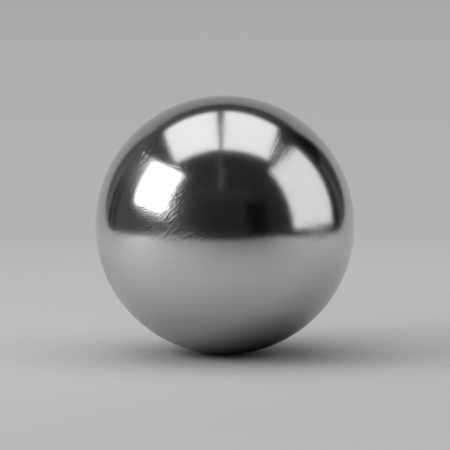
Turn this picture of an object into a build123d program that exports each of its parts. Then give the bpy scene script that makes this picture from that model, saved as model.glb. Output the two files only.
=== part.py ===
from build123d import *
import os

# A polished steel ball: one solid piece, ground and lapped to a true sphere.
# Sizes are in millimetres. The origin is the centre of the ball, and +Z is up.

# Driving dimension: a stock ball of 2 inches
ball_diameter = 50.8

ball_radius = ball_diameter / 2

# The ball is drawn as its own section, the half disc between its vertical axis and
# its outline, and that section is turned once round the axis. The outline starts at
# the lowest point, where the ball would touch a table, and ends at the top.
with BuildPart() as ball:
    with BuildSketch(Plane.XZ) as half_section:
        with BuildLine() as meridian:
            outline = ThreePointArc((0, -ball_radius), (ball_radius, 0), (0, ball_radius))
            Line(outline @ 1, outline @ 0)
        make_face()
    revolve(axis=Axis.Z)

ball.part.label = "ball"

os.makedirs("parts", exist_ok=True)
export_step(ball.part, "parts/ball.step")

print(f"ball: diameter {ball_diameter} mm, volume {ball.part.volume:.1f} mm3")
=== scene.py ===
import math

import bmesh
import bpy
from mathutils import Euler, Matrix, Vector


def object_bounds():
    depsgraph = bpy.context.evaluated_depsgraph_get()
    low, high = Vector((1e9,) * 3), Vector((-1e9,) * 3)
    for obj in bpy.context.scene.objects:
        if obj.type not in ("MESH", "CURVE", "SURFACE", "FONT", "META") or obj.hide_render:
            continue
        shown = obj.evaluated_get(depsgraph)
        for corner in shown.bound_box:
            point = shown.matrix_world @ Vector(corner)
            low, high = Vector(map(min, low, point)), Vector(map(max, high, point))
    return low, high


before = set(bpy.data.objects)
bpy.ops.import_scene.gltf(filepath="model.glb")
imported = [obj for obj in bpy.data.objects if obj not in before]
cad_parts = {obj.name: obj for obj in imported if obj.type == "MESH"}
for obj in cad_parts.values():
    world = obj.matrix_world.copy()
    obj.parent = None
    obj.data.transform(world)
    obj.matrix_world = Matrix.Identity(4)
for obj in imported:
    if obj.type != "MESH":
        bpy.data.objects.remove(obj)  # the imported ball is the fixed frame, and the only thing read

mm = 0.001  # the scene is in metres and the sizes below are in millimetres
white = (1, 1, 1, 1)
scene = bpy.context.scene
scene.view_settings.view_transform = "Standard"

cadLow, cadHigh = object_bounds()
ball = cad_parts["ball"]
ballCentre = (cadLow + cadHigh) / 2
ballRadius = (cadHigh.z - cadLow.z) / 2
floorHeight = cadLow.z  # the ball touches the table at its lowest point
print("ball: diameter", round(2 * ballRadius / mm, 2), "mm")


# The sRGB curve, from a hex colour to the linear values that the nodes take.
def linearColour(hexCode):
    linear = []
    for start in (1, 3, 5):
        channel = int(hexCode[start:start + 2], 16) / 255
        linear.append(channel / 12.92 if channel <= 0.04045 else ((channel + 0.055) / 1.055) ** 2.4)
    return linear + [1.0]


def addNode(tree, kind, values=None, links=None, **settings):
    node = tree.nodes.new(kind)
    for name, value in settings.items():
        setattr(node, name, value)
    for socket, value in (values or {}).items():
        node.inputs[socket].default_value = value
    for socket, source in (links or {}).items():
        tree.links.new(source, node.inputs[socket])
    return node


def emptyMaterial(name):
    material = bpy.data.materials.new(name)
    material.use_nodes = True
    material.node_tree.nodes.clear()
    return material


# The camera looks at the middle of the ball from a little above it, through a long lens.
cameraSetup = {
    "elevation": 6.0,      # degrees above level
    "distance": 1000,      # mm from the ball's centre
    "ballShare": 0.5755,   # the ball's radius as a share of half the picture
    "sensor": 36,          # mm
}


def makeCamera():
    distance = cameraSetup["distance"] * mm
    tilt = math.radians(cameraSetup["elevation"])
    halfFrame = math.tan(math.asin(ballRadius / distance)) / cameraSetup["ballShare"]
    data = bpy.data.cameras.new("studioCamera")
    data.sensor_width = cameraSetup["sensor"]
    data.lens = cameraSetup["sensor"] / 2 / halfFrame
    camera = bpy.data.objects.new("studioCamera", data)
    scene.collection.objects.link(camera)
    back = Vector((0, -math.cos(tilt), math.sin(tilt)))
    camera.location = ballCentre + back * distance
    camera.rotation_euler = (-back).to_track_quat("-Z", "Y").to_euler()
    scene.camera = camera
    print("camera: lens", round(data.lens), "mm")


makeCamera()

# Four soft boxes: places and sizes in mm from the ball's centre, turns in degrees.
# Glow is the brightness of the diffuser, where 1 is white in the picture.
softBoxes = {
    "overheadLeft": {"at": (-144.3, 87.4, 370), "size": (233.4, 379.4),
                     "turn": (7.5, -4.7, 0.4), "glow": 1.31},
    "overheadRight": {"at": (116.1, 87.8, 379.2), "size": (244.7, 385.3),
                      "turn": (10.1, -5.5, -2.0), "glow": 1.26},
    "sideLeft": {"at": (-300.9, -79.4, 171.2), "size": (236, 198),
                 "turn": (54.4, 8.3, -58.4), "glow": 3.7},
    "sideRight": {"at": (364.5, -21.5, 178.6), "size": (354, 382),
                  "turn": (72.5, 0.9, 81.9), "glow": 1.07},
}


def makeSoftBox(name, setup):
    data = bpy.data.lights.new(name, "AREA")
    data.shape = "RECTANGLE"
    data.size = setup["size"][0] * mm
    data.size_y = setup["size"][1] * mm
    data.energy = setup["glow"] * math.pi * data.size * data.size_y
    softBox = bpy.data.objects.new(name, data)
    scene.collection.objects.link(softBox)
    softBox.location = ballCentre + Vector(setup["at"]) * mm
    softBox.rotation_euler = Euler([math.radians(turn) for turn in setup["turn"]])
    softBox.visible_camera = False


for name, setup in softBoxes.items():
    makeSoftBox(name, setup)
print("lights:", len(softBoxes), "soft boxes")

# The rest of the studio is brightest high on the left and fades out low on the right,
# so the soft shadow falls to the right.
studioLight = {
    "brightSide": (-0.62, -0.20, 0.75),   # the way to its brightest part
    "strength": 0.735,                    # there
    "darkFrom": -0.3,                     # the cosine of the angle from there at which none is left
}


def makeWorld():
    world = bpy.data.worlds.new("studioLight")
    scene.world = world
    world.use_nodes = True
    tree = world.node_tree
    tree.nodes.clear()
    direction = addNode(tree, "ShaderNodeTexCoord").outputs["Generated"]
    brightSide = Vector(studioLight["brightSide"]).normalized()
    facing = addNode(tree, "ShaderNodeVectorMath", {1: brightSide}, {0: direction}, operation="DOT_PRODUCT")
    strength = addNode(tree, "ShaderNodeMapRange",
                       {"From Min": studioLight["darkFrom"], "To Max": studioLight["strength"]},
                       {"Value": facing.outputs["Value"]})
    light = addNode(tree, "ShaderNodeBackground", {"Color": white}, {"Strength": strength.outputs[0]})
    addNode(tree, "ShaderNodeOutputWorld", links={"Surface": light.outputs[0]})


makeWorld()
print("world: studio light from one side")


def stageObject(name, bm, material, mirrorOnly=False):
    mesh = bpy.data.meshes.new(name)
    bm.to_mesh(mesh)
    bm.free()
    mesh.materials.append(material)
    item = bpy.data.objects.new(name, mesh)
    scene.collection.objects.link(item)
    if mirrorOnly:  # only the ball's mirror image shows it
        item.visible_camera = False
        item.visible_diffuse = False
        item.visible_shadow = False
        item.visible_transmission = False
    return item


# How much a spot counts at each place: the whole amount in its middle and none beyond its reach.
def softSpot(tree, place, middle, reach, amount):
    away = addNode(tree, "ShaderNodeVectorMath", {1: middle}, {0: place}, operation="DISTANCE")
    spot = addNode(tree, "ShaderNodeMapRange", {"From Min": reach * mm, "From Max": 0.0, "To Max": amount},
                   {"Value": away.outputs["Value"]}, interpolation_type="SMOOTHSTEP")
    return spot.outputs[0]


# Paper mixed with a plain glow, where a glow of 1 is white.
def paperAndGlow(tree, paper, glowShare, glow):
    light = addNode(tree, "ShaderNodeEmission", {"Color": white}, {"Strength": glow})
    mix = addNode(tree, "ShaderNodeMixShader",
                  links={0: glowShare, 1: paper.outputs[0], 2: light.outputs[0]})
    addNode(tree, "ShaderNodeOutputMaterial", links={"Surface": mix.outputs[0]})


# The floor: a pale paper disc, in mm from the ball. Tones are glows, where 1 is white.
floorSetup = {
    "paperColour": "#B8B8B8",
    "radius": 4000,
    "segments": 96,       # round its rim
    "fadeFrom": 60,       # from here the lit paper turns into an even backdrop tone
    "fadeTo": 170,        # and from here there is only that tone
    "toneNear": 0.452,
    "toneNearTo": 240,
    "toneFar": 0.398,
    "toneFarFrom": 1100,
    "toneLift": 0.05,     # the tone is this much paler close to the ball
    "toneLiftTo": 110,
}


# Matte grey paper, uncoated and rolled smooth: an even tone with no shine, which takes a soft shadow.
def floorPaper():
    paper = floorSetup
    material = emptyMaterial("matteGreyPaper")
    tree = material.node_tree
    place = addNode(tree, "ShaderNodeTexCoord").outputs["Object"]
    level = addNode(tree, "ShaderNodeVectorMath", {1: (1, 1, 0)}, {0: place}, operation="MULTIPLY")
    away = addNode(tree, "ShaderNodeVectorMath", links={0: level.outputs[0]}, operation="LENGTH")
    away = away.outputs["Value"]
    fade = addNode(tree, "ShaderNodeMapRange",
                   {"From Min": paper["fadeFrom"] * mm, "From Max": paper["fadeTo"] * mm},
                   {"Value": away}, interpolation_type="SMOOTHSTEP")
    tone = addNode(tree, "ShaderNodeMapRange",
                   {"From Min": paper["toneNearTo"] * mm, "From Max": paper["toneFarFrom"] * mm,
                    "To Min": paper["toneNear"], "To Max": paper["toneFar"]}, {"Value": away})
    lift = addNode(tree, "ShaderNodeMapRange",
                   {"From Min": paper["toneNearTo"] * mm, "From Max": paper["toneLiftTo"] * mm,
                    "To Max": paper["toneLift"]}, {"Value": away}, interpolation_type="SMOOTHSTEP")
    glow = addNode(tree, "ShaderNodeMath", links={0: tone.outputs[0], 1: lift.outputs[0]}, operation="ADD")
    # The glow is only seen, by the camera and in mirrors and glass, and doesn't light the ball.
    rays = addNode(tree, "ShaderNodeLightPath").outputs
    seen = addNode(tree, "ShaderNodeMath", links={0: rays["Is Camera Ray"], 1: rays["Is Glossy Ray"]},
                   operation="ADD")
    seen = addNode(tree, "ShaderNodeMath", links={0: seen.outputs[0], 1: rays["Is Transmission Ray"]},
                   operation="ADD", use_clamp=True)
    glow = addNode(tree, "ShaderNodeMath", links={0: glow.outputs[0], 1: seen.outputs[0]},
                   operation="MULTIPLY")
    diffuse = addNode(tree, "ShaderNodeBsdfDiffuse", {"Color": linearColour(paper["paperColour"])})
    paperAndGlow(tree, diffuse, fade.outputs[0], glow.outputs[0])
    return material


def makeFloor():
    bm = bmesh.new()
    bmesh.ops.create_circle(bm, cap_ends=True, radius=floorSetup["radius"] * mm,
                            segments=floorSetup["segments"])
    bmesh.ops.translate(bm, verts=bm.verts, vec=(0, 0, floorHeight))
    floor = stageObject("floor", bm, floorPaper())
    floor.visible_glossy = False  # the ball mirrors the paper sweep instead


# The paper sweep that the ball mirrors: flat, then a quarter turn up, then upright.
# Places and sizes are in mm from the ball's centre.
sweepSetup = {
    "left": -245,
    "right": 236,
    "front": -211,      # the near edge of the tabletop
    "start": 100,       # behind the ball, where it starts to turn up
    "radius": 225,      # of that turn
    "steps": 24,        # faces along it
    "top": 277,
    "liftOff": 0.05,    # keeps it clear of the floor
    "blend": 80,        # how soon after the start the lit paper gives way to a glow, painted light in one tone at each height
    "toneLow": 0.455,   # that tone at the foot and at the top, where 1 is white
    "toneHigh": 0.25,
}

# Painted light and shade: spots on the flat of the sweep, in mm. A shade above 0 brightens the paper, a
# painted pool of light beside the ball and under the side boxes; one below darkens it, a painted shadow at
# the contact, in front and behind.
paintedPaperShades = {
    "contact": {"middle": (6, -2), "reach": 20, "shade": -0.85},
    "nearLeft": {"middle": (-90, -30), "reach": 100, "shade": 0.30},
    "underSideLeft": {"middle": (-220, -60), "reach": 140, "shade": 0.52},
    "underSideRight": {"middle": (160, -20), "reach": 140, "shade": 0.25},
    "inFront": {"middle": (45, -160), "reach": 140, "shade": -0.36},
    "behind": {"middle": (-8, 70), "reach": 100, "shade": -0.30},
}


# The same matte paper, with painted light and shade spots on its flat part and a glow on its upright part,
# darker towards the top: it gives the ball's lower half its grey.
def sweepPaperAndPaintedLight():
    sweep = sweepSetup
    material = emptyMaterial("matteGreyPaperSweepAndPaintedLight")
    tree = material.node_tree
    place = addNode(tree, "ShaderNodeTexCoord").outputs["Object"]
    axes = addNode(tree, "ShaderNodeSeparateXYZ", links={0: place}).outputs
    glow = addNode(tree, "ShaderNodeMapRange",
                   {"From Min": floorHeight, "From Max": sweep["top"] * mm,
                    "To Min": sweep["toneLow"], "To Max": sweep["toneHigh"]}, {"Value": axes["Z"]})
    glowShare = addNode(tree, "ShaderNodeMapRange",
                        {"From Min": sweep["start"] * mm,
                         "From Max": (sweep["start"] + sweep["blend"]) * mm},
                        {"Value": axes["Y"]}, interpolation_type="SMOOTHSTEP")
    # Painted light and shade: the spots scale the paper's colour.
    spots = []
    for spot in paintedPaperShades.values():
        middle = Vector((*spot["middle"], 0)) * mm + Vector((0, 0, floorHeight))
        spots.append(softSpot(tree, place, middle, spot["reach"], spot["shade"]))
    shade = addNode(tree, "ShaderNodeMath", {1: 1.0}, {0: spots[0]}, operation="ADD").outputs[0]
    for spot in spots[1:]:
        shade = addNode(tree, "ShaderNodeMath", links={0: spot, 1: shade}, operation="ADD").outputs[0]
    colour = addNode(tree, "ShaderNodeVectorMath", {0: linearColour(floorSetup["paperColour"])[:3]},
                     {"Scale": shade}, operation="SCALE")
    diffuse = addNode(tree, "ShaderNodeBsdfDiffuse", links={"Color": colour.outputs[0]})
    paperAndGlow(tree, diffuse, glowShare.outputs[0], glow.outputs[0])
    return material


def makeSweep():
    sweep = sweepSetup
    level = floorHeight + sweep["liftOff"] * mm
    start = sweep["start"] * mm
    radius = sweep["radius"] * mm
    profile = [(sweep["front"] * mm, level), (start, level)]
    for step in range(1, sweep["steps"] + 1):
        angle = math.pi / 2 * step / sweep["steps"]
        profile.append((start + radius * math.sin(angle), level + radius * (1 - math.cos(angle))))
    profile.append((start + radius, sweep["top"] * mm))
    sides = (sweep["left"] * mm, sweep["right"] * mm)
    bm = bmesh.new()
    rows = [[bm.verts.new((x, y, z)) for x in sides] for y, z in profile]
    for low, high in zip(rows, rows[1:]):
        bm.faces.new((low[0], low[1], high[1], high[0])).smooth = True
    stageObject("paperSweep", bm, sweepPaperAndPaintedLight(), mirrorOnly=True)


# The dark room round it all. Tones are glows, where 1 is white.
roomSetup = {
    "radius": 2500,                     # mm
    "subdivisions": 4,
    "toneDim": 0.018,
    "tonePale": 0.125,
    "paleSide": (-0.40, 0.90, -0.60),   # the room is palest this way: behind the ball on the left
    "paleFrom": -0.12,                  # the cosine of the angle from there at which it starts to pale
}

# Darker and paler things along the walls. Turns go from the camera to the right, and heights up
# from level, in degrees.
panelSetup = {
    "radius": 2400,   # mm, just inside the room
    "step": 3,        # degrees between vertices
}
# Each thing is a flat glow: painted light in place of the light on it.
roomPanels = {
    "doorway": {"turn": (20, 38), "height": (-10, 25), "tone": 0.002},
    "lowCupboard": {"turn": (-22, 18), "height": (-10, 13), "tone": 0.018},
    "wallBand": {"turn": (-30, 28), "height": (28, 38), "tone": 0.030},
    "cableAbove": {"turn": (-12, -7), "height": (57, 74), "tone": 0.11},
    "cableBelow": {"turn": (-7, -2), "height": (38, 57), "tone": 0.11},
    "lampStand": {"turn": (-72, -68), "height": (-10, 9), "tone": 0.0},
    "paleStrip": {"turn": (-132, -128), "height": (-10, 36), "tone": 0.19},
    "drapeOne": {"turn": (-127, -122), "height": (-10, 34), "tone": 0.01},
    "drapeTwo": {"turn": (-118, -114), "height": (-10, 24), "tone": 0.01},
    "rightDrape": {"turn": (125, 142), "height": (24, 40), "tone": 0.0},
    "rightCorner": {"turn": (114, 122), "height": (-10, 22), "tone": 0.0},
    "rightStrip": {"turn": (124, 130), "height": (-10, 24), "tone": 0.09},
}


# The dark room is a glow, painted light in place of the dim light on its walls, paler behind the ball on
# the left: in the steel it is the near-black that the lamps stand out from.
def roomGlow():
    room = roomSetup
    material = emptyMaterial("darkRoomGlow")
    tree = material.node_tree
    place = addNode(tree, "ShaderNodeTexCoord").outputs["Object"]
    paleSide = Vector(room["paleSide"]).normalized() / (room["radius"] * mm)
    facing = addNode(tree, "ShaderNodeVectorMath", {1: paleSide}, {0: place}, operation="DOT_PRODUCT")
    tone = addNode(tree, "ShaderNodeMapRange",
                   {"From Min": room["paleFrom"], "To Min": room["toneDim"], "To Max": room["tonePale"]},
                   {"Value": facing.outputs["Value"]})
    light = addNode(tree, "ShaderNodeEmission", {"Color": white}, {"Strength": tone.outputs[0]})
    addNode(tree, "ShaderNodeOutputMaterial", links={"Surface": light.outputs[0]})
    return material


def makeRoom():
    bm = bmesh.new()
    bmesh.ops.create_icosphere(bm, subdivisions=roomSetup["subdivisions"], radius=roomSetup["radius"] * mm)
    stageObject("darkRoom", bm, roomGlow(), mirrorOnly=True)


# A patch of the room's wall, curved like the room, in one flat tone: a glow, painted light in place of the
# light on it.
def makePanel(name, setup):
    material = emptyMaterial(name)
    tree = material.node_tree
    tone = addNode(tree, "ShaderNodeEmission", {"Color": white, "Strength": setup["tone"]})
    addNode(tree, "ShaderNodeOutputMaterial", links={"Surface": tone.outputs[0]})
    step = panelSetup["step"]
    turns = range(setup["turn"][0], setup["turn"][1] + step, step)
    heights = range(setup["height"][0], setup["height"][1] + step, step)
    bm = bmesh.new()
    rows = []
    for height in heights:
        lift = math.radians(min(height, setup["height"][1]))
        row = []
        for turn in turns:
            side = math.radians(min(turn, setup["turn"][1]))
            corner = Vector((math.cos(lift) * math.sin(side),
                             -math.cos(lift) * math.cos(side),
                             math.sin(lift)))
            row.append(bm.verts.new(corner * panelSetup["radius"] * mm))
        rows.append(row)
    for low, high in zip(rows, rows[1:]):
        for left in range(len(low) - 1):
            bm.faces.new((low[left], low[left + 1], high[left + 1], high[left]))
    stageObject(name, bm, material, mirrorOnly=True)


makeFloor()
makeSweep()
makeRoom()
for name, setup in roomPanels.items():
    makePanel(name, setup)
print("stage: floor, mirrored paper, room and", len(roomPanels), "things along its walls")

# Polished bearing steel: a hardened ball, ground, lapped and then handled.
# The eye sees a grey mirror with a soft haze, and hairline scratches that light up near a lamp.
# The real scratches are too fine to show in the picture, so the satin, hairlines and strokes below
# are spaced about ten times coarser, and cut deeper to match.
steelLook = {
    "colour": "#D5D5D5",
    "dullColour": "#C4C4C4",
    "roughness": 0.13,
    "dullRoughness": 0.155,
    "dullPatch": 14,                 # mm, how large the duller patches are
    "dullDetail": 8.0,               # how many times finer patches are added to them
    "dullBreakUp": 0.8,              # and how much those count
    "dullShare": (0.35, 0.65),       # the part of the noise over which the roughness changes
    "grain": 0.28,                   # mm, the satin left by lapping
    "grainDetail": 1.0,
    "grainDepth": 0.0070,            # mm
    "hairlinePasses": 6,             # directions of the scattered hairlines
    "hairlineLength": 7.0,           # mm
    "hairlineSpacing": 0.34,         # mm
    "hairlineDetail": 0.0,
    "hairlineDepth": 0.003,          # mm
    "hairlineShare": (0.64, 0.80),   # the part of the noise that cuts a line
    "hairlineReach": (0.55, 0.78),   # radii along a pass's axis, where its lines fade out
    "scuffLength": 1.3,              # mm, one stroke
    "scuffSpacing": 0.28,            # mm
    "scuffDetail": 1.0,
}

# Where the ball was rubbed: the way there from the centre, reach in mm, the way that its strokes run,
# how deep they are in mm, and the roughness that they add.
scuffs = {
    "lowLeft": {"towards": (-0.37, -0.92, 0.11), "reach": 9,
                "strokes": (0.66, -0.16, 0.74), "depth": 0.050, "haze": 0.09},
    "aboveLeftLamp": {"towards": (-0.62, -0.50, 0.60), "reach": 6,
                      "strokes": (0.70, -0.10, 0.70), "depth": 0.070, "haze": 0.03},
    "betweenRightLamps": {"towards": (0.44, -0.63, 0.63), "reach": 6,
                          "strokes": (0.45, 0.77, 0.45), "depth": 0.028, "haze": 0.04},
    "besideLeftLamp": {"towards": (-0.72, -0.51, 0.46), "reach": 6,
                       "strokes": (0.70, -0.10, 0.70), "depth": 0.026, "haze": 0.08},
    "underRightLamp": {"towards": (0.70, -0.70, 0.03), "reach": 6,
                       "strokes": (0.0, 0.0, 1.0), "depth": 0.048, "haze": 0.06},
    "belowLeftLamp": {"towards": (-0.60, -0.78, 0.15), "reach": 6,
                      "strokes": (0.75, -0.63, 0.10), "depth": 0.018, "haze": 0.04},
    "faintUpright": {"towards": (-0.22, -0.89, 0.38), "reach": 9,
                     "strokes": (0.0, 0.45, 0.89), "depth": 0.016, "haze": 0.02},
}


# Strokes along the latitude circles of an axis: noise that is stretched along them.
def strokeNoise(tree, place, axis, length, spacing, detail):
    turn = axis.to_track_quat("Z", "Y").to_euler()
    along = addNode(tree, "ShaderNodeMapping",
                    {"Rotation": turn, "Scale": (length * mm, length * mm, spacing * mm)},
                    {"Vector": place}, vector_type="TEXTURE")
    noise = addNode(tree, "ShaderNodeTexNoise", {"Scale": 1.0, "Detail": detail},
                    {"Vector": along.outputs[0]})
    return noise.outputs[0]


# One direction of hairlines, in a band round its own axis.
def hairlinePass(tree, place, index):
    look = steelLook
    height = (index + 0.5) / look["hairlinePasses"]
    turn = index * math.pi * (3 - math.sqrt(5))  # the golden angle spreads the axes evenly
    side = math.sqrt(1 - height * height)
    axis = Vector((side * math.cos(turn), side * math.sin(turn), height))
    noise = strokeNoise(tree, place, axis, look["hairlineLength"], look["hairlineSpacing"],
                        look["hairlineDetail"])
    low, high = look["hairlineShare"]
    lines = addNode(tree, "ShaderNodeMapRange", {"From Min": low, "From Max": high}, {"Value": noise})
    along = addNode(tree, "ShaderNodeVectorMath", {1: axis / ballRadius}, {0: place},
                    operation="DOT_PRODUCT")
    along = addNode(tree, "ShaderNodeMath", links={0: along.outputs["Value"]}, operation="ABSOLUTE")
    near, far = look["hairlineReach"]
    band = addNode(tree, "ShaderNodeMapRange",
                   {"From Min": near, "From Max": far, "To Min": 1.0, "To Max": 0.0},
                   {"Value": along.outputs[0]})
    cut = addNode(tree, "ShaderNodeMath", links={0: lines.outputs[0], 1: band.outputs[0]},
                  operation="MULTIPLY")
    return cut.outputs[0]


def polishedBearingSteel():
    look = steelLook
    material = emptyMaterial("polishedBearingSteel")
    tree = material.node_tree
    place = addNode(tree, "ShaderNodeTexCoord").outputs["Object"]

    grain = addNode(tree, "ShaderNodeTexNoise",
                    {"Scale": 1 / (look["grain"] * mm), "Detail": look["grainDetail"]}, {"Vector": place})
    satin = addNode(tree, "ShaderNodeBump", {"Distance": look["grainDepth"] * mm},
                    {"Height": grain.outputs[0]})

    hairlines = hairlinePass(tree, place, 0)
    for index in range(1, look["hairlinePasses"]):
        lines = hairlinePass(tree, place, index)
        hairlines = addNode(tree, "ShaderNodeMath", links={0: hairlines, 1: lines}, operation="ADD")
        hairlines = hairlines.outputs[0]
    scratched = addNode(tree, "ShaderNodeBump", {"Distance": look["hairlineDepth"] * mm},
                        {"Height": hairlines, "Normal": satin.outputs[0]}, invert=True)

    patches = addNode(tree, "ShaderNodeTexNoise",
                      {"Scale": 1 / (look["dullPatch"] * mm), "Detail": look["dullDetail"],
                       "Roughness": look["dullBreakUp"]}, {"Vector": place})
    tint = addNode(tree, "ShaderNodeMix",  # sockets 6 and 7 are its two colours
                   {6: linearColour(look["colour"]), 7: linearColour(look["dullColour"])},
                   {0: patches.outputs[0]}, data_type="RGBA")
    low, high = look["dullShare"]
    rough = addNode(tree, "ShaderNodeMapRange",
                    {"From Min": low, "From Max": high,
                     "To Min": look["roughness"], "To Max": look["dullRoughness"]},
                    {"Value": patches.outputs[0]}).outputs[0]

    rubbing = None
    for scuff in scuffs.values():
        towards = Vector(scuff["towards"]).normalized()
        axis = towards.cross(Vector(scuff["strokes"])).normalized()
        spot = softSpot(tree, place, towards * ballRadius, scuff["reach"], 1.0)
        strokes = strokeNoise(tree, place, axis, look["scuffLength"], look["scuffSpacing"],
                              look["scuffDetail"])
        strokes = addNode(tree, "ShaderNodeMath", {1: scuff["depth"], 2: -scuff["depth"] / 2},
                          {0: strokes}, operation="MULTIPLY_ADD")
        links = {0: strokes.outputs[0], 1: spot}
        if rubbing:
            links[2] = rubbing  # on top of the scuffs before it
        rubbing = addNode(tree, "ShaderNodeMath", {2: 0.0}, links, operation="MULTIPLY_ADD").outputs[0]
        rough = addNode(tree, "ShaderNodeMath", {1: scuff["haze"]}, {0: spot, 2: rough},
                        operation="MULTIPLY_ADD").outputs[0]
    scuffed = addNode(tree, "ShaderNodeBump", {"Distance": mm},
                      {"Height": rubbing, "Normal": scratched.outputs[0]})

    steel = addNode(tree, "ShaderNodeBsdfPrincipled", {"Metallic": 1.0},
                    {"Base Color": tint.outputs[2], "Roughness": rough, "Normal": scuffed.outputs[0]})
    addNode(tree, "ShaderNodeOutputMaterial", links={"Surface": steel.outputs[0]})
    return material


ball.data.materials.clear()
ball.data.materials.append(polishedBearingSteel())
print("steel: polished,", steelLook["hairlinePasses"], "directions of hairlines,", len(scuffs), "scuffs")
